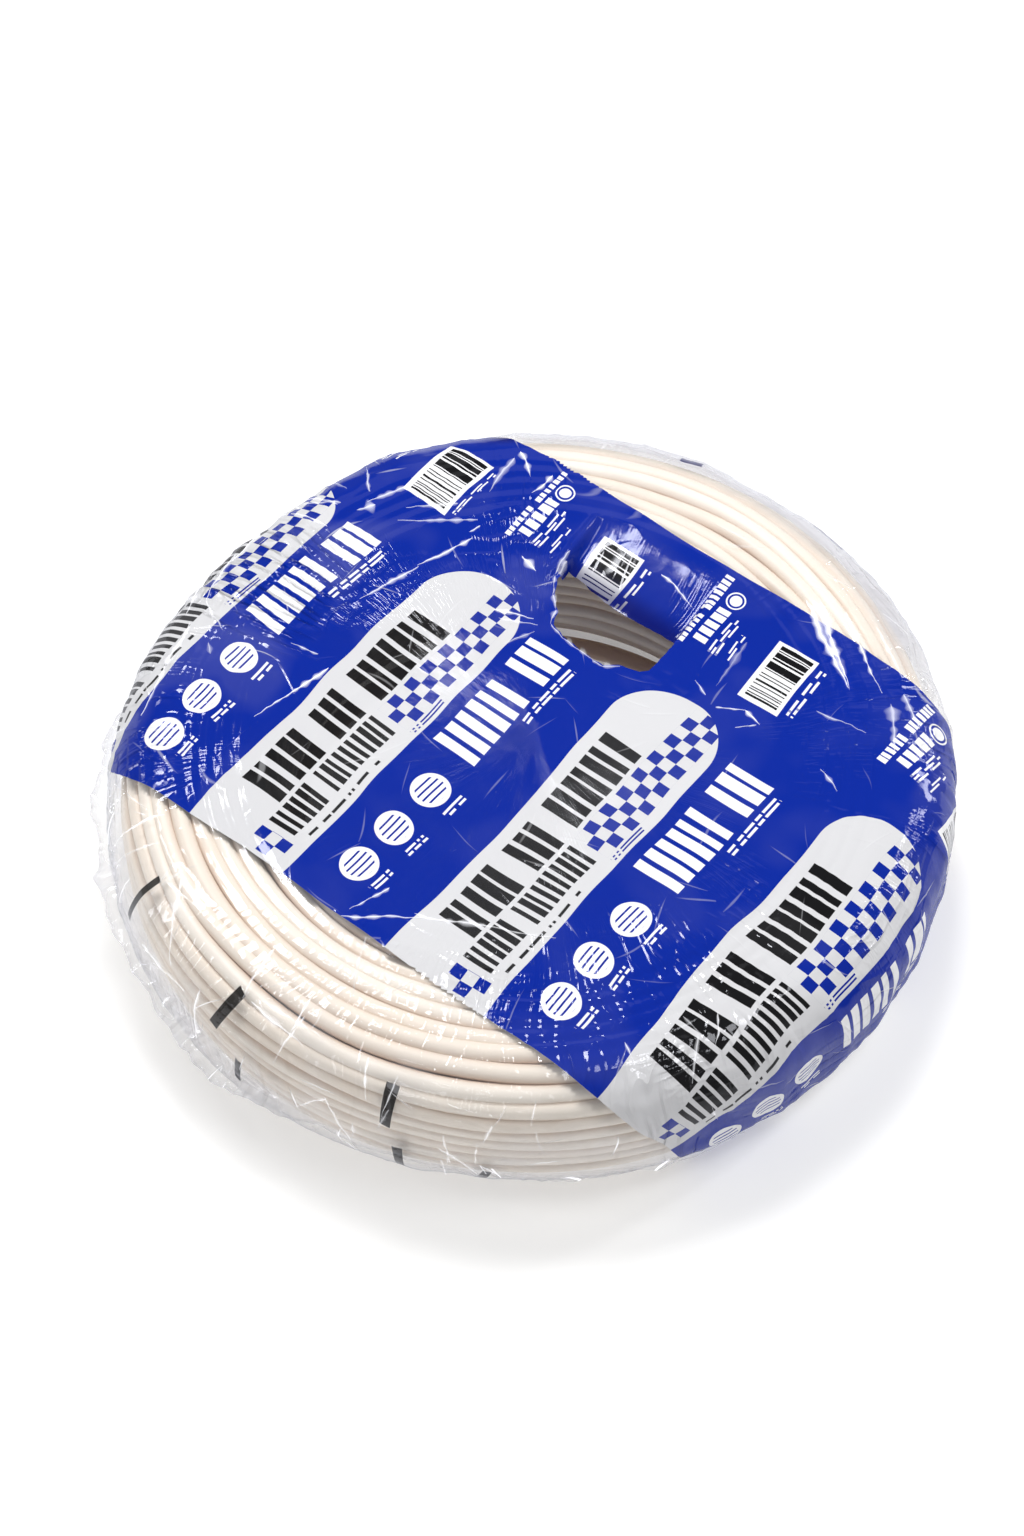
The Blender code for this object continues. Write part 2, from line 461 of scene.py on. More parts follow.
def clear_film_marks():
    """Group: plain black bars printed here and there on the clear film."""
    group, (along, across), leave = node_group(
        "clear_film_marks", [("Along", "Float"), ("Across", "Float")], [("Cover", "Float")])
    bars = []
    for mark_along, mark_across, turn, length, width in MARKS:
        from_along, from_across = along - mark_along, across - mark_across
        lengthwise = from_along * cos(radians(turn)) + from_across * sin(radians(turn))
        crosswise = from_across * cos(radians(turn)) - from_along * sin(radians(turn))
        inside = lengthwise.between(-length / 2, length / 2)
        bars.append(inside.both(crosswise.between(-width / 2, width / 2)))
    group.links.new(any_of(bars).socket, leave.inputs["Cover"])
    return group


def scattered_points(tree, vector, scale):
    """Points scattered about: how far the nearest one is, where it lies, and a colour of its own."""
    node = tree.nodes.new("ShaderNodeTexVoronoi")
    node.inputs["Scale"].default_value = scale
    tree.links.new(vector, node.inputs["Vector"])
    return node.outputs


def straight_folds(tree, vector, scale, half_length, half_width):
    """One straight fold at each scattered point, each at its own slant: 1 on its crest, 0 beside it."""
    point = scattered_points(tree, vector, scale)
    offset = vector_maths(tree, "SUBTRACT", vector, point["Position"])
    slant = vector_maths(tree, "SUBTRACT", point["Color"], (0.5, 0.5, 0.5))
    facing = vector_maths(tree, "NORMALIZE", slant.outputs[0])
    crosswise = vector_maths(tree, "DOT_PRODUCT", offset.outputs[0], facing.outputs[0])
    crest = (Field(tree, crosswise.outputs["Value"]).size() / half_width).clamped().inverse()
    ends = (Field(tree, point["Distance"]) / (half_length * scale)).clamped().inverse()
    return crest * ends


def drawn_ridges(tree, heading, run, around, lengthwise, sharpness):
    """Ridges drawn out one way: their pace round the coil, and over it from top to foot."""
    place = tree.nodes.new("ShaderNodeCombineXYZ")
    for slot, value in zip(place.inputs, (heading[0] * around, heading[1] * around, run * lengthwise)):
        tree.links.new(value.socket, slot)
    waves = noise_field(tree, place.outputs[0], 1.0, 0.6, 0.45)
    return ((waves * 2.0 - 1.0).size() * sharpness).clamped().inverse()


def film_creases():
    """Group: the height of creases in shrunk film, and painted highlights: white lines along its sharp
    folds.
    """
    group, (gathered, pulled), leave = node_group(
        "film_creases",
        [("Gathered", "Float"), ("Pulled", "Float")],
        [("Height", "Float"), ("Painted Highlight", "Float")],
    )
    coordinates = group.nodes.new("ShaderNodeTexCoord").outputs["Object"]
    parts = group.nodes.new("ShaderNodeSeparateXYZ")
    group.links.new(coordinates, parts.inputs[0])
    x, y, z = (Field(group, socket) for socket in parts.outputs)
    reach = (x * x + y * y).maths("SQRT").either(0.01)
    stray = noise_field(group, coordinates, 22.0, 0.0)
    bend = stray.socket.node.outputs["Color"]
    run = reach - z + stray * 0.022
    heading = (x / reach + stray * 0.09, y / reach - stray * 0.09)
    over_turns = ((reach - 0.09) / 0.04).clamped()
    gathers = drawn_ridges(group, heading, run, 24.0, 15.0, 5.0) * over_turns
    pulls = drawn_ridges(group, heading, run, 5.0, 120.0, 5.0) * over_turns
    fine = drawn_ridges(group, heading, run, 75.0, 36.0, 4.0)
    bent = vector_maths(group, "MULTIPLY_ADD", bend, (0.018, 0.018, 0.018), coordinates).outputs[0]
    dimples = Field(group, scattered_points(group, bent, 75.0)["Distance"])
    folds = straight_folds(group, bent, 40.0, 0.018, 0.0009)
    height = dimples * (gathered * 0.42 + 0.04) + gathers * gathered * 0.33 + pulls * pulled * 0.25
    height = height + fine * pulled * 0.06 + folds * 0.13
    # painted highlight: white lines along the fold crests
    white = folds.past(0.5, 0.3)
    group.links.new(height.socket, leave.inputs["Height"])
    group.links.new(white.socket, leave.inputs["Painted Highlight"])
    return group


# Materials


def new_material(name):
    material = bpy.data.materials.new(name)
    material.use_nodes = True
    tree = material.node_tree
    shader = tree.nodes["Principled BSDF"]
    return material, tree, shader, tree.nodes["Material Output"]


def add_group(tree, group):
    node = tree.nodes.new("ShaderNodeGroup")
    node.node_tree = group
    return node


def attribute_field(tree, name):
    node = tree.nodes.new("ShaderNodeAttribute")
    node.attribute_name = name
    return Field(tree, node.outputs["Fac"])


def bump_normal(tree, height, strength, distance):
    node = tree.nodes.new("ShaderNodeBump")
    node.inputs["Strength"].default_value = strength
    node.inputs["Distance"].default_value = distance
    tree.links.new(height, node.inputs["Height"])
    return node.outputs["Normal"]


def jacket_material():
    """Ivory cable jacket: satin, slightly waxy, with painted shade that makes it warmer and darker down
    between the turns.
    """
    material, tree, shader, _ = new_material("ivory_jacket")
    coordinates = tree.nodes.new("ShaderNodeTexCoord").outputs["Object"]
    groove = attribute_field(tree, "groove")
    tone = attribute_field(tree, "turn_tone")
    mottle = noise_field(tree, coordinates, 60.0, 3.0)
    ivory = blend_colours(tree, tone.clamped(), (0.86, 0.77, 0.67), (0.92, 0.86, 0.78))
    ivory = blend_colours(tree, mottle.past(0.62, 0.5) * 0.35, ivory, (0.84, 0.74, 0.64))
    # painted shade: blends the ivory toward warm brown where shade falls between the turns
    colour = blend_colours(tree, groove.clamped(), ivory, (0.55, 0.36, 0.25))
    tree.links.new(colour, shader.inputs["Base Color"])
    tree.links.new((mottle * 0.25 + 0.30).socket, shader.inputs["Roughness"])
    grain = noise_field(tree, coordinates, 900.0, 2.0)
    tree.links.new(bump_normal(tree, grain.socket, 0.15, 0.0002), shader.inputs["Normal"])
    return material


def film_finish(tree, shader, output, creases, ink, cover, fill, sheen):
    """The film's shared finish: ink where it covers, haze elsewhere, painted highlights along the folds,
    painted shade where marked, gloss over all.
    """
    slack = attribute_field(tree, "slackness")
    painted_shade = attribute_field(tree, "painted_shade")
    height = Field(tree, creases.outputs["Height"]) * slack
    painted_highlight = Field(tree, creases.outputs["Painted Highlight"]) * (slack + 0.10)
    milky_and_sheen = attribute_field(tree, "milkiness_and_sheen") * slack
    normal = bump_normal(tree, height.socket, 1.0, 0.0042)
    tree.links.new(normal, shader.inputs["Normal"])
    # painted highlight along the folds, and on the print a painted sheen from the milky patches, both
    # blended toward white
    pale = (painted_highlight * 0.6).either(milky_and_sheen * 0.06)
    # painted shade: the flap's ink is darkened to a deep navy
    ink = blend_colours(tree, painted_shade * 0.75 * cover, ink, PAINTED_SHADE_INK)
    tree.links.new(blend_colours(tree, pale, ink, HAZE_AND_HIGHLIGHT_WHITE), shader.inputs["Base Color"])
    opacity = (cover * fill).either(painted_highlight * 0.60 + milky_and_sheen * 0.24 + painted_shade * 0.14 + 0.05)
    tree.links.new(opacity.socket, shader.inputs["Alpha"])
    shader.inputs["Roughness"].default_value = 0.5
    shader.inputs["Specular IOR Level"].default_value = 0.0
    gloss = tree.nodes.new("ShaderNodeBsdfGlossy")
    gloss.inputs["Color"].default_value = (*GLOSS_TINT, 1.0)
    gloss.inputs["Roughness"].default_value = 0.07
    tree.links.new(normal, gloss.inputs["Normal"])
    facing = tree.nodes.new("ShaderNodeLayerWeight")
    facing.inputs["Blend"].default_value = 0.5
    mirror = Field(tree, facing.outputs["Facing"]).maths("POWER", 3.5) * sheen + 0.035
    mix = tree.nodes.new("ShaderNodeMixShader")
    tree.links.new(mirror.socket, mix.inputs[0])
    tree.links.new(shader.outputs[0], mix.inputs[1])
    tree.links.new(gloss.outputs[0], mix.inputs[2])
    tree.links.new(mix.outputs[0], output.inputs["Surface"])


def add_creases(tree, group):
    """The creases, gathered and pulled where the film's own patches say."""
    node = add_group(tree, group)
    tree.links.new(attribute_field(tree, "gathered").socket, node.inputs["Gathered"])
    tree.links.new(attribute_field(tree, "pulled").socket, node.inputs["Pulled"])
    return node


def film_measure(tree, group):
    """Feeds a group with the film's flat measure in millimetres."""
    flat = tree.nodes.new("ShaderNodeUVMap")
    flat.uv_map = "film_flat"
    parts = tree.nodes.new("ShaderNodeSeparateXYZ")
    tree.links.new(flat.outputs[0], parts.inputs[0])
    tree.links.new((Field(tree, parts.outputs[0]) * 1000.0).socket, group.inputs["Along"])
    tree.links.new((Field(tree, parts.outputs[1]) * 1000.0).socket, group.inputs["Across"])


def printed_film_material(print_group, crease_group):
    """Shrink film with the printed lane."""
    material, tree, shader, output = new_material("printed_shrink_film")
    lane = add_group(tree, print_group)
    film_measure(tree, lane)
    fill = Field(tree, lane.outputs["Pale"]) * -0.05 + 0.995
    cover = Field(tree, lane.outputs["Cover"])
    creases = add_creases(tree, crease_group)
    film_finish(tree, shader, output, creases, lane.outputs["Colour"], cover, fill, 0.40)
    material.use_transparent_shadow = False
    return material


def clear_film_material(marks_group, crease_group):
    """The same shrink film beside the lane: clear, but for a few plain marks."""
    material, tree, shader, output = new_material("clear_shrink_film")
    marks = add_group(tree, marks_group)
    film_measure(tree, marks)
    cover = Field(tree, marks.outputs["Cover"])
    # painted shade: the clear film behind the far right turns and at the seam's edge is tinted grey
    gathered = attribute_field(tree, "painted_shade") * 0.24
    haze = blend_colours(tree, gathered.clamped(), HAZE_AND_HIGHLIGHT_WHITE, PAINTED_SHADE_GREY)
    ink = blend_colours(tree, cover, haze, PRINT_BLACK)
    creases = add_creases(tree, crease_group)
    film_finish(tree, shader, output, creases, ink, cover, 0.95, 0.80)
    # painted highlight: the clear film's fold lines glow white though they are no lamp
    glint = (Field(tree, creases.outputs["Painted Highlight"]) * attribute_field(tree, "slackness")).clamped()
    tree.links.new(blend_colours(tree, glint, (0.0, 0.0, 0.0), FOLD_GLINT), shader.inputs["Emission Color"])
    shader.inputs["Emission Strength"].default_value = 2.0
    material.cycles.emission_sampling = "NONE"
    return material


def fold_highlight_material():
    """Painted highlight: the sharp white crest of a long fold, glowing though it is no lamp, clear again at
    its sides.
    """
    material, tree, shader, _ = new_material("painted_fold_highlight")
    crest = attribute_field(tree, "crest").clamped()
    shader.inputs["Base Color"].default_value = (*FOLD_HIGHLIGHT_WHITE, 1.0)
    shader.inputs["Roughness"].default_value = 0.35
    shader.inputs["Emission Color"].default_value = (0.72, 0.72, 0.74, 1.0)
    shader.inputs["Emission Strength"].default_value = 1.0
    tree.links.new((crest * 0.95).socket, shader.inputs["Alpha"])
    material.cycles.emission_sampling = "NONE"
    return material


def floor_material():
    material, tree, shader, _ = new_material("pale_floor")
    shader.inputs["Base Color"].default_value = (0.66, 0.66, 0.66, 1.0)
    shader.inputs["Emission Color"].default_value = (1.0, 1.0, 1.0, 1.0)
    shader.inputs["Emission Strength"].default_value = 0.39
    shader.inputs["Roughness"].default_value = 0.9
    shader.inputs["Specular IOR Level"].default_value = 0.0
    return material


# Shapes


def smooth_share(value):
    value = np.clip(value, 0.0, 1.0)
    return value * value * (3 - 2 * value)


def noise_at(x, y, z):
    """Smooth noise at each of a list of places."""
    x, y, z = np.broadcast_arrays(x, y, z)
    flat = [noise.noise(Vector(place)) for place in zip(x.ravel(), y.ravel(), z.ravel())]
    return np.array(flat).reshape(x.shape)


def ridges_at(x, y, z):
    """Noise with sharp crests, from 0 to 1."""
    return 1 - np.minimum(1.0, np.abs(noise_at(x, y, z)) * 2.4)


def grid_faces(rows, steps, closed_rows=False):
    """Quads of a grid whose rows run round the coil."""
    row = np.arange(rows if closed_rows else rows - 1)[:, None]
    step = np.arange(steps)[None, :]
    after = (step + 1) % steps
    above = (row + 1) % rows
    corners = [row * steps + step, row * steps + after, above * steps + after, above * steps + step]
    return np.stack(corners, -1).reshape(-1, 4)


def mesh_object(name, points, faces, material):
    mesh = bpy.data.meshes.new(name)
    mesh.from_pydata(points.reshape(-1, 3).tolist(), [], [tuple(face) for face in faces])
    mesh.update()
    mesh.shade_smooth()
    mesh.materials.append(material)
    thing = bpy.data.objects.new(name, mesh)
    bpy.context.scene.collection.objects.link(thing)
    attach(thing, "root")
    return thing


def point_values(thing, name, values):
    attribute = thing.data.attributes.new(name, "FLOAT", "POINT")
    attribute.data.foreach_set("value", values.ravel().astype(np.float32))


def coil_section(inset):
    """The winding's section, inset from its crests: places (radius, height) with their ways out."""
    outer = OUTER_SHOULDER - inset
    inner = INNER_SHOULDER - inset
    corners = [
        (COIL_RADIUS - OUTER_SHOULDER, COIL_TOP - OUTER_SHOULDER, outer, 0.0),
        (BORE_RADIUS + INNER_SHOULDER, COIL_TOP - INNER_SHOULDER, inner, pi / 2),
        (BORE_RADIUS + INNER_SHOULDER, COIL_BASE + INNER_SHOULDER, inner, pi),
        (COIL_RADIUS - OUTER_SHOULDER, COIL_BASE + OUTER_SHOULDER, outer, 1.5 * pi),
    ]
    places = []
    for radius, height, round_radius, begins in corners:
        for angle in np.linspace(begins, begins + pi / 2, 24):
            out = (cos(angle), sin(angle))
            places.append((radius + out[0] * round_radius, height + out[1] * round_radius, *out))
    places.append(places[0])
    return np.array(places)


def along_section(section, share):
    """Places on the section at shares of the way round it."""
    steps = np.hypot(*np.diff(section[:, :2], axis=0).T)
    travelled = np.concatenate([[0.0], np.cumsum(steps)])
    at = np.mod(share, 1.0) * travelled[-1]
    radius, height, out_r, out_z = [np.interp(at, travelled, section[:, i]) for i in range(4)]
    length = np.hypot(out_r, out_z)
    return radius, height, out_r / length, out_z / length


def lane_drift(turn, turns, seed):
    """How each turn strays from its even place, much as its neighbours do."""
    x, y = np.cos(TAU * turn), np.sin(TAU * turn)
    lane_x, lane_y = np.cos(TAU * turn / turns) * turns / TAU, np.sin(TAU * turn / turns) * turns / TAU
    drift = noise_at(x * 1.5 + lane_x * 0.55, y * 1.5 + seed, lane_y * 0.55)
    return drift + 0.35 * noise_at(x * 3.1 + lane_x * 1.3, y * 3.1 - seed, lane_y * 1.3)


def pressed_in(angle, radius):
    """How far the whole coil is pressed in from a true round, and nothing near its bore."""
    degrees = np.degrees(np.mod(angle, TAU))
    depth = PRESSED_DEPTH * np.exp(-((degrees - PRESSED_AT) / PRESSED_WIDTH) ** 2)
    return depth * smooth_share((radius - PRESSED_FROM) / 0.04)


def strand(name, turns, inset, stations, sides, wander, sink, seed, material):
    """One cable wound round the section, each turn a lane beside the last, closed on itself."""
    section = coil_section(inset)
    turn = np.arange(turns * stations) / stations
    angle = TAU * turn
    lane = np.floor(turn) + smooth_share((turn - np.floor(turn) - CROSSING) / CROSSING_LENGTH)
    x, y = np.cos(angle), np.sin(angle)
    closing = TAU * turn / turns
    lane_x, lane_y = np.cos(closing) * turns / TAU, np.sin(closing) * turns / TAU
    drift = lane_drift(turn, turns, seed)
    fall = noise_at(x * 1.4 - lane_x * 1.1, y * 1.4 + 2 * seed, lane_y * 1.1 + 5.0)
    centre_r, centre_z, out_r, out_z = along_section(section, (lane + wander * drift) / turns)
    depth = sink * np.clip(fall + 0.25, 0.0, 1.0)
    centre_r = centre_r - out_r * depth - pressed_in(angle, centre_r)
    centre_z = centre_z - out_z * depth
    around = TAU * np.arange(sides) / sides
    lift = np.cos(around)[None, :] * CABLE_RADIUS
    slide = np.sin(around)[None, :] * CABLE_RADIUS
    ring_r = centre_r[:, None] + out_r[:, None] * lift - out_z[:, None] * slide
    ring_z = centre_z[:, None] + out_z[:, None] * lift + out_r[:, None] * slide
    points = np.stack([ring_r * x[:, None], ring_r * y[:, None], ring_z], -1)
    faces = grid_faces(turns * stations, sides, closed_rows=True)
    thing = mesh_object(name, points, faces, material)
    # painted shade: darker down the side of each turn that faces into the grooves, and on sunk turns
    groove = (1 - np.cos(around))[None, :] * 0.8 - 0.15 + depth[:, None] * 160.0
    point_values(thing, "groove", np.clip(groove, 0.0, 1.0))
    tone = noise_at(lane_x * 1.9, lane_y * 1.9, x * 0.6 + seed) * 1.3 + 0.5
    point_values(thing, "turn_tone", np.repeat(tone, sides))
    return thing


def loose_turn(material):
    """The inner end's last turn, fallen to the bore's foot."""
    steps, sides = 200, 12
    angle = TAU * np.arange(steps) / steps
    radius = 0.1128 + 0.0014 * np.sin(angle * 2 + 1.0) + 0.0006 * np.sin(angle * 5)
    height = COIL_BASE + CABLE_RADIUS + 0.0016 * (1 + np.sin(angle * 3 + 0.4))
    around = TAU * np.arange(sides) / sides
    ring_r = radius[:, None] + CABLE_RADIUS * np.cos(around)[None, :]
    ring_z = height[:, None] + CABLE_RADIUS * np.sin(around)[None, :]
    points = np.stack([ring_r * np.cos(angle)[:, None], ring_r * np.sin(angle)[:, None], ring_z], -1)
    faces = grid_faces(steps, sides, closed_rows=True)
    thing = mesh_object("loose_inner_turn", points, faces, material)
    # painted shade: the whole turn is darkened as if in the bore's shade
    point_values(thing, "groove", np.full((steps, sides), 0.8))
    point_values(thing, "turn_tone", np.full((steps, sides), 0.3))


def stand_off(angle):
    """How far the film stands off the winding's wall, by the way round the coil."""
    degrees = np.degrees(np.mod(angle, TAU))
    around_at = [0, 30, 60, 90, 104, 112, 120, 150, 168, 180, 200, 225, 255, 285, 320, 345, 360]
    stands_at = [5.0, 6.5, 7.0, 5.5, 3.0, 5.0, 0.3, 0.2, 0.6, 3.8, 6.5, 5.5, 2.2, 1.5, 3.0, 4.5, 5.0]
    return np.interp(degrees, around_at, stands_at) * 0.001


def web_measure(x, y):
    """The film's measure along the web and across it."""
    along = x * cos(WEB_ANGLE) + y * sin(WEB_ANGLE)
    across = -x * sin(WEB_ANGLE) + y * cos(WEB_ANGLE)
    return along, across


def lip_at(x, y):
    """The torn opening's edge, along rays from its middle to places on the rim."""
    along, across = web_measure(x, y)
    direction = np.arctan2(across - LIP_MIDDLE[1], along - LIP_MIDDLE[0])
    corners = np.array(LIP + LIP[:1])
    fine = np.concatenate([np.linspace(a, b, 24)[:-1] for a, b in zip(corners, corners[1:])])
    bearing = np.arctan2(fine[:, 1] - LIP_MIDDLE[1], fine[:, 0] - LIP_MIDDLE[0])
    order = np.argsort(bearing)
    lip_along = np.interp(direction, bearing[order], fine[order, 0], period=TAU)
    lip_across = np.interp(direction, bearing[order], fine[order, 1], period=TAU)
    ragged = 0.0005 * noise_at(lip_along * 300, lip_across * 300, 2.0)
    lip_along, lip_across = lip_along + ragged, lip_across + ragged
    lip_x = lip_along * cos(WEB_ANGLE) - lip_across * sin(WEB_ANGLE)
    lip_y = lip_along * sin(WEB_ANGLE) + lip_across * cos(WEB_ANGLE)
    return lip_x, lip_y


def film_profile():
    """The film from the underside's middle to the bore's rim: radius, height, way out, flat radius."""
    flat_edge = COIL_RADIUS - OUTER_SHOULDER
    round_radius = OUTER_SHOULDER + FILM_LIFT
    foot, head = COIL_BASE - FILM_LIFT, COIL_TOP + FILM_LIFT
    low, high = COIL_BASE + OUTER_SHOULDER, COIL_TOP - OUTER_SHOULDER
    wall_top = flat_edge + round_radius * pi / 2
    wall_foot = wall_top + high - low
    under_edge = wall_foot + round_radius * pi / 2
    under_flat = under_edge + flat_edge
    rows = []

    def shoulder(turns, middle, level_flat):
        """Rows round a shoulder about its middle's height, from the flat radius where it stands upright."""
        for turn in turns:
            out_r, out_z = cos(turn), sin(turn)
            place = (flat_edge + round_radius * out_r, middle + round_radius * out_z)
            rows.append((*place, out_r, out_z, level_flat - round_radius * turn))

    for share in np.linspace(0.08, 1.0, 8)[:-1]:
        radius = RIM_RADIUS * share
        rows.append((radius, foot + BASE_DISH * cos(share * pi / 2), 0.0, -1.0, under_flat - radius))
    for radius in np.linspace(RIM_RADIUS, flat_edge, 7)[:-1]:
        rows.append((radius, foot, 0.0, -1.0, under_flat - radius))
    shoulder(np.linspace(-pi / 2, 0.0, 16)[:-1], low, wall_foot)
    for share in np.linspace(0.0, 1.0, 14)[:-1]:
        flat_radius = wall_foot + (wall_top - wall_foot) * share
        rows.append((flat_edge + round_radius, low + (high - low) * share, 1.0, 0.0, flat_radius))
    shoulder(np.linspace(0.0, pi / 2, 30)[:-1], high, wall_top)
    for radius in np.linspace(flat_edge, RIM_RADIUS, 26)[:-1]:
        rows.append((radius, head, 0.0, 1.0, radius))
    return np.array(rows)


def pressed_turns(profile, angle):
    """Where the film over the winding sinks between two turns, from 0 on a crest to 1 in a groove."""
    section = coil_section(CABLE_RADIUS)
    shares = np.linspace(0.0, 1.0, 1200)
    radius, height = along_section(section, shares)[:2]
    gap = np.hypot(profile[:, 0, None] - radius[None, :], profile[:, 1, None] - height[None, :])
    lane = shares[gap.argmin(1)] * TURNS
    turn_share = np.mod(angle, TAU) / TAU
    offset = smooth_share((turn_share - CROSSING) / CROSSING_LENGTH)
    place = lane[:, None] - offset[None, :]
    nearest = np.round(place)
    drift = WANDER * lane_drift(nearest + turn_share[None, :], TURNS, SEED)
    phase = place - drift - nearest
    return (1 - np.cos(TAU * phase)) / 2


def drum_height(along, across, share):
    """How far the film over the bore sinks: a little at first, and far more where it is cut away."""
    sag = DRUM_SAG * share**0.8
    left = FLAP_SIDES[0] - (across - 0.090) * 0.07
    inside = smooth_share((along - left) / 0.0042) * smooth_share((FLAP_SIDES[1] - along) / 0.0025)
    reach = np.clip((0.130 - across) / 0.040, 0.0, 1.0) * smooth_share((across - 0.084) / 0.003)
    fold = np.exp(-((along - left + 0.0012) / 0.0016) ** 2) * smooth_share((across - 0.075) / 0.01)
    return -sag - FLAP_DEPTH * inside * reach**1.3 + 0.0016 * fold * (across < 0.132)


def crumpling(x, y, scale, seed):
    """Small dents that meet in sharp edges, from 0 in a dent to 1 on an edge."""
    places = zip(x.ravel() * scale, y.ravel() * scale)
    nearest = [noise.voronoi(Vector((*place, seed)))[0][0] for place in places]
    return np.clip(nearest, 0.0, 1.0).reshape(x.shape)


def film_slackness(x, y, wall):
    """How loose and crumpled the film is: most of all at the far left and round the wall."""
    along, across = web_measure(x, y)
    far_left = smooth_share(1.25 - np.hypot(x + 0.135, y - 0.100) / 0.085)
    left_edge = smooth_share(1.0 - np.hypot(x + 0.150, y + 0.02) / 0.07)
    cut = smooth_share(1.0 - np.hypot(along + 0.060, across - 0.085) / 0.045)
    calm = smooth_share(1.2 - np.hypot(along - 0.008, across - 0.108) / 0.036)
    slack = 0.17 + 0.50 * wall + 0.66 * far_left + 0.15 * left_edge + 0.45 * cut
    return np.clip(slack * (1 - 0.65 * calm), 0.0, 1.0)


def print_slip(along, across):
    """How far the cut and gathered film has carried its print along the web."""
    knots = np.array([-200, -141, -113, -80, -15, 8]) * 0.001
    slips = np.array([30, 33, 37, 12.5, 12.5, 0]) * 0.001
    return np.interp(along, knots, slips) * smooth_share((across - 0.066) / 0.010)


def print_wobble(flat, seed):
    """How far the film's uneven shrinking has moved its print."""
    x, y = flat
    return 0.0034 * noise_at(x * 13, y * 13, seed) + 0.0014 * noise_at(x * 38, y * 38, seed)


def film_places():
    """The film's places, ways out, flat places, wall shares and groove shares, row by row."""
    angle = TAU * np.arange(FILM_STEPS) / FILM_STEPS
    x, y = np.cos(angle), np.sin(angle)
    profile = film_profile()
    radius, height, out_r, out_z, flat_radius = [profile[:, i, None] for i in range(5)]
    still = np.zeros_like(x)
    places = np.stack([radius * x, radius * y, height + still], -1)
    outs = np.stack([out_r * x, out_r * y, out_z + still], -1)
    flats = np.stack([flat_radius * x, flat_radius * y], -1)
    over = flat_radius < COIL_RADIUS + 0.060
    wall = np.sin(np.clip((flat_radius - 0.166) / 0.118, 0.0, 1.0) * pi)
    walls = wall + still
    grooves = pressed_turns(profile, angle) * over
    rim_x, rim_y = RIM_RADIUS * x, RIM_RADIUS * y
    lip_x, lip_y = lip_at(rim_x, rim_y)
    share = np.linspace(0.0, 1.0, 56)[:, None]
    drum_x = rim_x + (lip_x - rim_x) * share
    drum_y = rim_y + (lip_y - rim_y) * share
    drum_z = COIL_TOP + FILM_LIFT + drum_height(*web_measure(drum_x, drum_y), share)
    drum = np.stack([drum_x, drum_y, drum_z], -1)
    up = np.broadcast_to([0.0, 0.0, 1.0], drum.shape)
    nothing = np.zeros(drum_x.shape)
    return (np.concatenate([places, drum]), np.concatenate([outs, up]),
            np.concatenate([flats, drum[..., :2]]), np.concatenate([walls, nothing]),
            np.concatenate([grooves, nothing]), angle)


def crease_patches(thing, points):
    """Marks on a film where it is gathered one way, pulled the other, and milky."""
    x, y, z = points.reshape(-1, 3).T
    for name, scale, seed, edge, steepness in PATCHES:
        cloud = noise_at(x * scale, y * scale, z * scale + seed)
        cloud = cloud + 0.4 * noise_at(x * scale * 2.3, y * scale * 2.3, seed)
        point_values(thing, name, np.clip((cloud - edge) * steepness, 0.0, 1.0))


def film_rise(flat, depth, wall, groove, slack, angle):
    """How far the film stands off its tight place: its swells, folds and dents."""
    flat_x, flat_y = flat
    around_x, around_y = np.cos(angle)[None, :], np.sin(angle)[None, :]
    folds = ridges_at(around_x * 7, around_y * 7, depth * 9)
    streaks = ridges_at(around_x * 22, around_y * 22, depth * 14)
    swell = noise_at(around_x * 3, around_y * 3, depth * 10)
    dents = crumpling(flat_x, flat_y, 34.0, 0.5)
    small = crumpling(flat_x, flat_y, 80.0, 4.5)
    rise = wall * stand_off(angle)[None, :] * (0.8 + 0.5 * swell)
    rise = rise + wall * (folds**2 * 0.0012 + streaks**2 * 0.0006)
    rise = rise + slack * (dents * 0.0022 + small * 0.0008)
    rise = rise + 0.0011 * noise_at(flat_x * 16, flat_y * 16, 1.0)
    rise = rise - groove * (1 - wall) * 0.0004
    return rise * smooth_share((0.285 - depth) / 0.03)


def painted_shade_places(along, across, depth, angle):
    """Where the film is painted in shade: darker ink on the flap that dips beyond the opening, and grey
    behind the far right turns.
    """
    flap = smooth_share((along - FLAP_SIDES[0]) / 0.004) * smooth_share((FLAP_SIDES[1] - along) / 0.004)
    flap = flap * smooth_share((0.104 - across) / 0.012) * smooth_share((across - 0.086) / 0.003)
    far_right = smooth_share((np.cos(angle - FAR_RIGHT) - 0.70) / 0.15)[None, :]
    return flap, smooth_share((depth - 0.176) / 0.008) * far_right


def lay_print(thing, flat, along, across, slack):
    """Gives the film its flat measure, moved where its shrinking has moved the print."""
    flat_x, flat_y = flat
    along = along - print_slip(along, across) + print_wobble(flat, 3.0)
    across = across + print_wobble(flat, 8.0) * 0.8
    along = along + slack**2 * 0.0045 * noise_at(flat_x * 22, flat_y * 22, 11.0)
    across = across + slack**2 * 0.0045 * noise_at(flat_x * 22, flat_y * 22, 15.0)
    layer = thing.data.uv_layers.new(name="film_flat")
    corner_points = np.empty(len(thing.data.loops), dtype=np.int32)
    thing.data.loops.foreach_get("vertex_index", corner_points)
    measure = np.stack([np.append(along, OFF_PRINT), np.append(across, OFF_PRINT)], -1)[corner_points]
    layer.data.foreach_set("uv", measure.ravel().astype(np.float32))


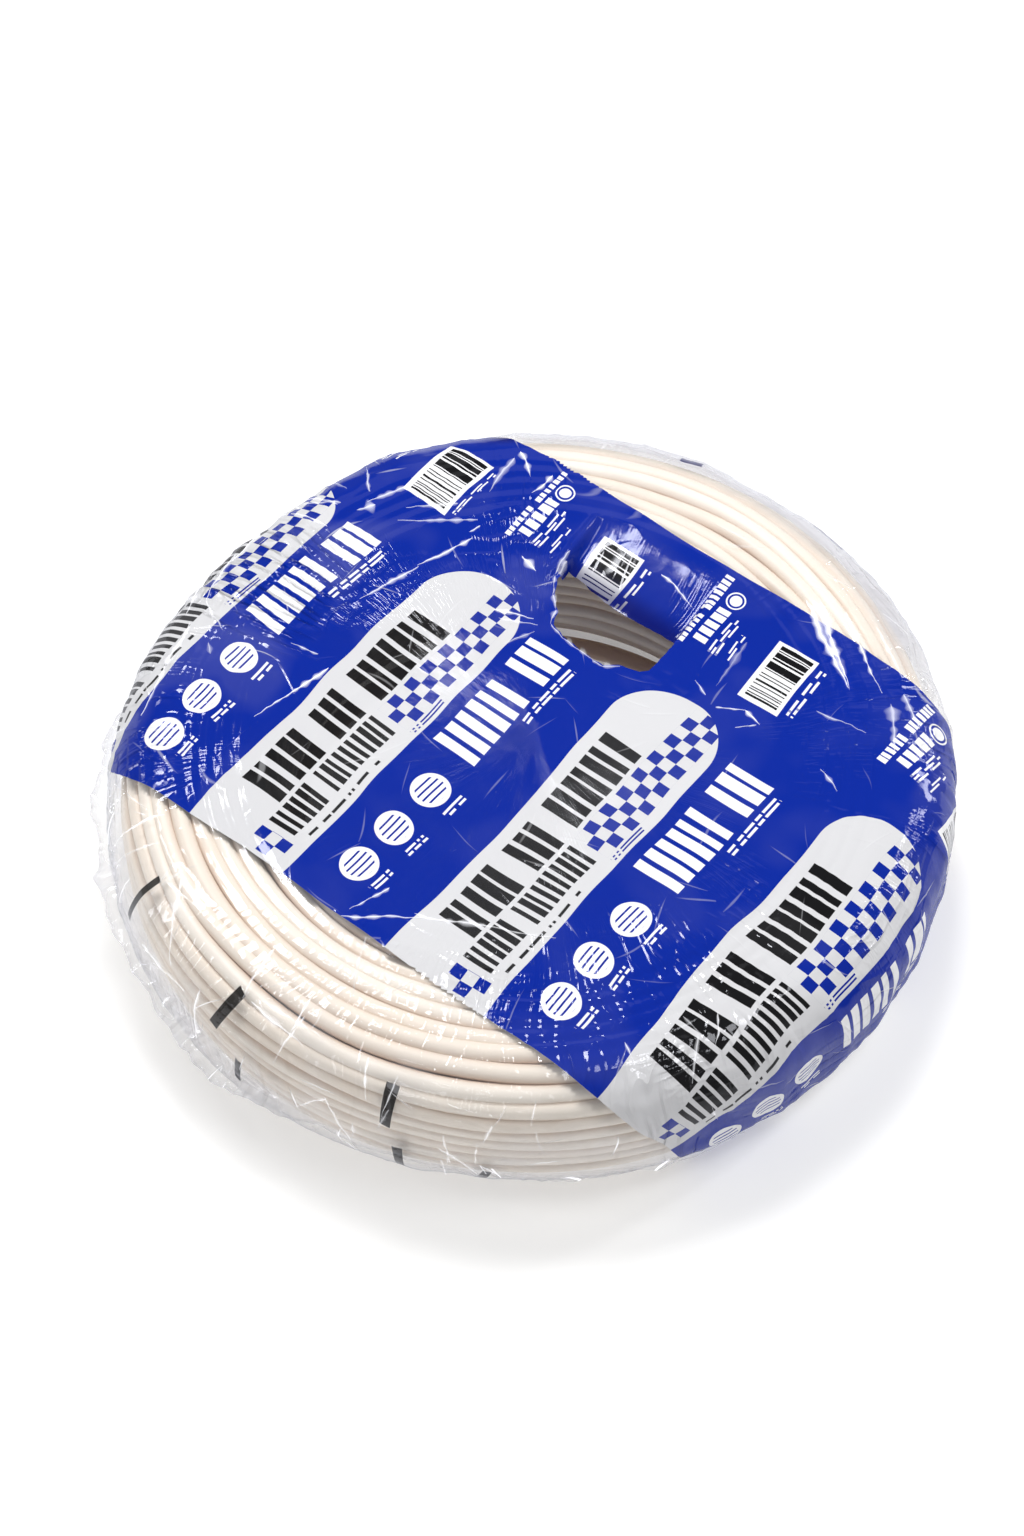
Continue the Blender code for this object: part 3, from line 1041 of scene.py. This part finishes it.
def film_sheet(printed, clear):
    """The shrunk film over the winding, creased where it hangs slack."""
    place, out, flats, wall, groove, angle = film_places()
    flat = (flats[..., 0], flats[..., 1])
    depth = np.hypot(*flat)
    slack = film_slackness(*flat, wall)
    points = place + out * film_rise(flat, depth, wall, groove, slack, angle)[..., None]
    inwards = pressed_in(angle[None, :], np.hypot(place[..., 0], place[..., 1]))
    points[..., 0] -= np.cos(angle)[None, :] * inwards
    points[..., 1] -= np.sin(angle)[None, :] * inwards
    points[..., 2] = np.maximum(points[..., 2], film_low[2] + 0.0002)
    middle = np.array([[0.0, 0.0, points[0, :, 2].mean()]])
    faces = grid_faces(len(points), FILM_STEPS).tolist()
    centre = len(points) * FILM_STEPS
    faces += [(centre, (step + 1) % FILM_STEPS, step) for step in range(FILM_STEPS)]
    points = np.concatenate([points.reshape(-1, 3), middle])
    thing = mesh_object("film_sheet", points, faces, printed)
    crease_patches(thing, points)
    along, across = web_measure(*flat)
    flap, behind = painted_shade_places(along, across, depth, angle)
    slack = slack * (1 - 0.75 * flap)
    # painted shade: the flap's darker ink and the grey film behind the far right turns
    point_values(thing, "painted_shade", np.append(flap + 2.6 * behind, 0.0))
    point_values(thing, "slackness", np.append(slack * (1 - 0.5 * behind), 0.2))
    beside = (across < LANE_LOW * 0.001) | (across > LANE_HIGH * 0.001)
    beside = np.append(beside | (np.abs(along) > CLEAR_FROM * 0.001), True)
    thing.data.materials.append(clear)
    thing.data.polygons.foreach_set("material_index", [int(beside[list(face)].all()) for face in faces])
    lay_print(thing, flat, along, across, slack)
    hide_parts("shrink_film")
    return thing


def tight_film(flat_x, flat_y):
    """Where a place of the flat film would lie on the coil if it were tight, and the way out there."""
    profile = film_profile()
    rows = profile[profile[:, 4].argsort()]
    flat_radius = np.hypot(flat_x, flat_y)
    radius, height, out_r, out_z = [np.interp(flat_radius, rows[:, 4], rows[:, i]) for i in range(4)]
    radius = np.minimum(radius, flat_radius)
    x, y = flat_x / flat_radius, flat_y / flat_radius
    return np.stack([radius * x, radius * y, height], -1), np.stack([out_r * x, out_r * y, out_z], -1)


def fold_places(fold, seed):
    """A long fold's places from end to end and side to side, tapering, in the flat film."""
    along, across, end_along, end_across, width = np.array(fold[:5]) * 0.001
    length = np.hypot(end_along - along, end_across - across)
    ahead = np.array([end_along - along, end_across - across]) / length
    share = np.linspace(0.0, 1.0, FOLD_STEPS)
    bend = 0.0012 * noise_at(share * length * 70, seed, 0.0)
    bend = bend + 0.0005 * noise_at(share * length * 260, seed, 4.0)
    ragged = np.clip(1 + 1.6 * noise_at(share * length * 240, seed, 8.0), 0.25, 2.0)
    half = width * 0.85 * np.sin(pi * share**0.6) * ragged
    sideways = bend[:, None] + half[:, None] * np.array([side for side, _ in FOLD_SIDES])
    place_along = along + ahead[0] * length * share[:, None] - ahead[1] * sideways
    place_across = across + ahead[1] * length * share[:, None] + ahead[0] * sideways
    flat_x = place_along * cos(WEB_ANGLE) - place_across * sin(WEB_ANGLE)
    flat_y = place_along * sin(WEB_ANGLE) + place_across * cos(WEB_ANGLE)
    return flat_x.ravel(), flat_y.ravel()


def strewn_folds():
    """Short folds strewn round the left and near walls, most of them down the slope."""
    draw = np.random.default_rng(11)
    folds = []
    for _ in range(STREWN_FOLDS):
        bearing = radians(draw.uniform(112.0, 300.0)) - WEB_ANGLE
        reach = draw.uniform(156.0, 232.0)
        heading = bearing + draw.normal(0.0, 0.45)
        length = draw.uniform(7.0, 30.0)
        along, across = reach * cos(bearing), reach * sin(bearing)
        end = (along + length * cos(heading), across + length * sin(heading))
        folds.append((along, across, *end, draw.uniform(0.6, 1.5), draw.uniform(0.3, 0.8)))
    return folds


def film_fold_highlights(sheet, material):
    """Long sharp folds that stand on the film and round the opening's lip, each a low tent whose white
    crest is a painted highlight.
    """
    corners = [vertex.co for vertex in sheet.data.vertices]
    surface = BVHTree.FromPolygons(corners, [face.vertices for face in sheet.data.polygons])
    points, faces, crests = [], [], []
    lip = (np.array(LIP) - LIP_MIDDLE) * 1.05 + LIP_MIDDLE
    round_lip = [(*start * 1000, *end * 1000, 1.3, 0.5) for start, end in zip(lip, lip[1:LIP_FOLDS + 1])]
    sides = len(FOLD_SIDES)
    strip = [face for face in grid_faces(FOLD_STEPS, sides).tolist() if face[0] % sides != sides - 1]
    for number, fold in enumerate(LONG_FOLDS + round_lip + strewn_folds()):
        faces += [[corner + len(points) for corner in face] for face in strip]
        tight, outs = tight_film(*fold_places(fold, 3.7 * number))
        for step, (place, out) in enumerate(zip(tight, outs)):
            out = Vector(out)
            found = surface.ray_cast(Vector(place) + out * 0.02, -out, 0.05)[0] or Vector(place)
            crest = FOLD_SIDES[step % sides][1]
            points.append(found + out * (FOLD_LIFT + FOLD_RISE * crest))
            crests.append(fold[5] * crest)
    thing = mesh_object("film_fold_highlights", np.array(points), faces, material)
    point_values(thing, "crest", np.array(crests))


def film_seam(clear):
    """The ruffled strip of clear film that stands out round the left and near walls."""
    angle = np.radians(np.linspace(166.0, 300.0, 260))
    share = np.linspace(0.0, 1.0, 7)[:, None]
    along_strip = (angle - angle[0]) / (angle[-1] - angle[0])
    taper = smooth_share(along_strip / 0.06) * (1 - 0.78 * smooth_share((along_strip - 0.40) / 0.22))
    taper = taper * smooth_share((1 - along_strip) / 0.1)
    x, y = np.cos(angle), np.sin(angle)
    ragged = noise_at(x * 9, y * 9, 1.0) + 0.6 * noise_at(x * 26, y * 26, 3.0)
    bunch = np.exp(-((np.degrees(angle) - 231.0) / 5.0) ** 2)
    width = taper * (0.0100 + 0.0040 * ragged) + 0.0035 * bunch
    ruffle = noise_at(x * 14, y * 14, 6.0) * 0.006 + noise_at(x * 40, y * 40, 8.0) * 0.0025
    base = COIL_RADIUS + 0.0005 + stand_off(angle) * 0.5
    height = 0.052 - 0.030 * along_strip + 0.004 * noise_at(x * 5, y * 5, 4.0)
    radius = base + width * share
    rise = height + ruffle * share - 0.003 * share**2
    points = np.stack([radius * x, radius * y, np.maximum(rise, 0.001)], -1)
    faces = [face for face in grid_faces(7, len(angle)).tolist() if face[0] % len(angle) != len(angle) - 1]
    thing = mesh_object("film_seam", points, faces, clear)
    crease_patches(thing, points)
    point_values(thing, "slackness", np.ones(points.shape[:2]))
    # painted shade: the seam turns grey toward its outer edge
    point_values(thing, "painted_shade", np.repeat([0.5, 0.5, 0.5, 0.5, 0.6, 1.4, 2.4], len(angle)))
    layer = thing.data.uv_layers.new(name="film_flat")
    layer.data.foreach_set("uv", np.full(len(thing.data.loops) * 2, OFF_PRINT, dtype=np.float32))


# Stage


def floor():
    mesh = bpy.data.meshes.new("floor")
    reach = 6.0
    corners = [(-reach, -reach, 0), (reach, -reach, 0), (reach, reach, 0), (-reach, reach, 0)]
    mesh.from_pydata(corners, [], [(0, 1, 2, 3)])
    mesh.materials.append(floor_material())
    thing = bpy.data.objects.new("floor", mesh)
    bpy.context.scene.collection.objects.link(thing)


def soft_box(name, place, size, power, lights, reflects):
    """A studio light that faces the coil. It may only light, or only be reflected."""
    lamp = bpy.data.lights.new(name, "AREA")
    lamp.shape = "RECTANGLE"
    lamp.size, lamp.size_y = size
    lamp.energy = power
    thing = bpy.data.objects.new(name, lamp)
    thing.location = place
    thing.visible_diffuse = lights
    thing.visible_glossy = reflects
    aim = Vector((0.0, 0.0, COIL_TOP / 2)) - Vector(place)
    thing.rotation_euler = aim.to_track_quat("-Z", "Y").to_euler()
    bpy.context.scene.collection.objects.link(thing)


def studio():
    world = bpy.data.worlds.new("studio")
    world.use_nodes = True
    background = world.node_tree.nodes["Background"]
    background.inputs["Color"].default_value = (1.0, 1.0, 1.0, 1.0)
    background.inputs["Strength"].default_value = WORLD_STRENGTH
    bpy.context.scene.world = world
    for light in LIGHTS:
        soft_box(*light)
    bpy.context.scene.view_settings.view_transform = "Standard"


def camera():
    """The photograph's view: the coil's middle sits a little right of and below the picture's."""
    lens = bpy.data.cameras.new("camera")
    lens.sensor_width = SENSOR
    lens.lens = PHOTO_FOCUS / PHOTO_HEIGHT * SENSOR
    lens.clip_start = 0.05
    thing = bpy.data.objects.new("camera", lens)
    target = Vector((0.0, 0.0, film_high[2] / 2))
    ahead = Vector((0.0, cos(ELEVATION), -sin(ELEVATION)))
    upwards = Vector((0.0, sin(ELEVATION), cos(ELEVATION)))
    sideways = Vector((1.0, 0.0, 0.0))
    thing.location = target - ahead * CAMERA_DISTANCE
    look = ahead * PHOTO_FOCUS - sideways * OFF_CENTRE + upwards * OFF_CENTRE
    thing.rotation_euler = look.to_track_quat("-Z", "Y").to_euler()
    bpy.context.scene.collection.objects.link(thing)
    bpy.context.scene.camera = thing


def build():
    jacket = jacket_material()
    creases = film_creases()
    printed = printed_film_material(lane_print(), creases)
    clear = clear_film_material(clear_film_marks(), creases)
    turns = strand("cable_turns", TURNS, CABLE_RADIUS, 150, 12, WANDER, 0.0016, SEED, jacket)
    under = strand("cable_turns_below", 28, CABLE_RADIUS * 2.6, 96, 8, 0.2, 0.0006, 6.1, jacket)
    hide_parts("cable_coil")
    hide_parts("cable_coil")
    loose_turn(jacket)
    sheet = film_sheet(printed, clear)
    film_fold_highlights(sheet, fold_highlight_material())
    film_seam(clear)
    floor()
    studio()
    camera()


build()
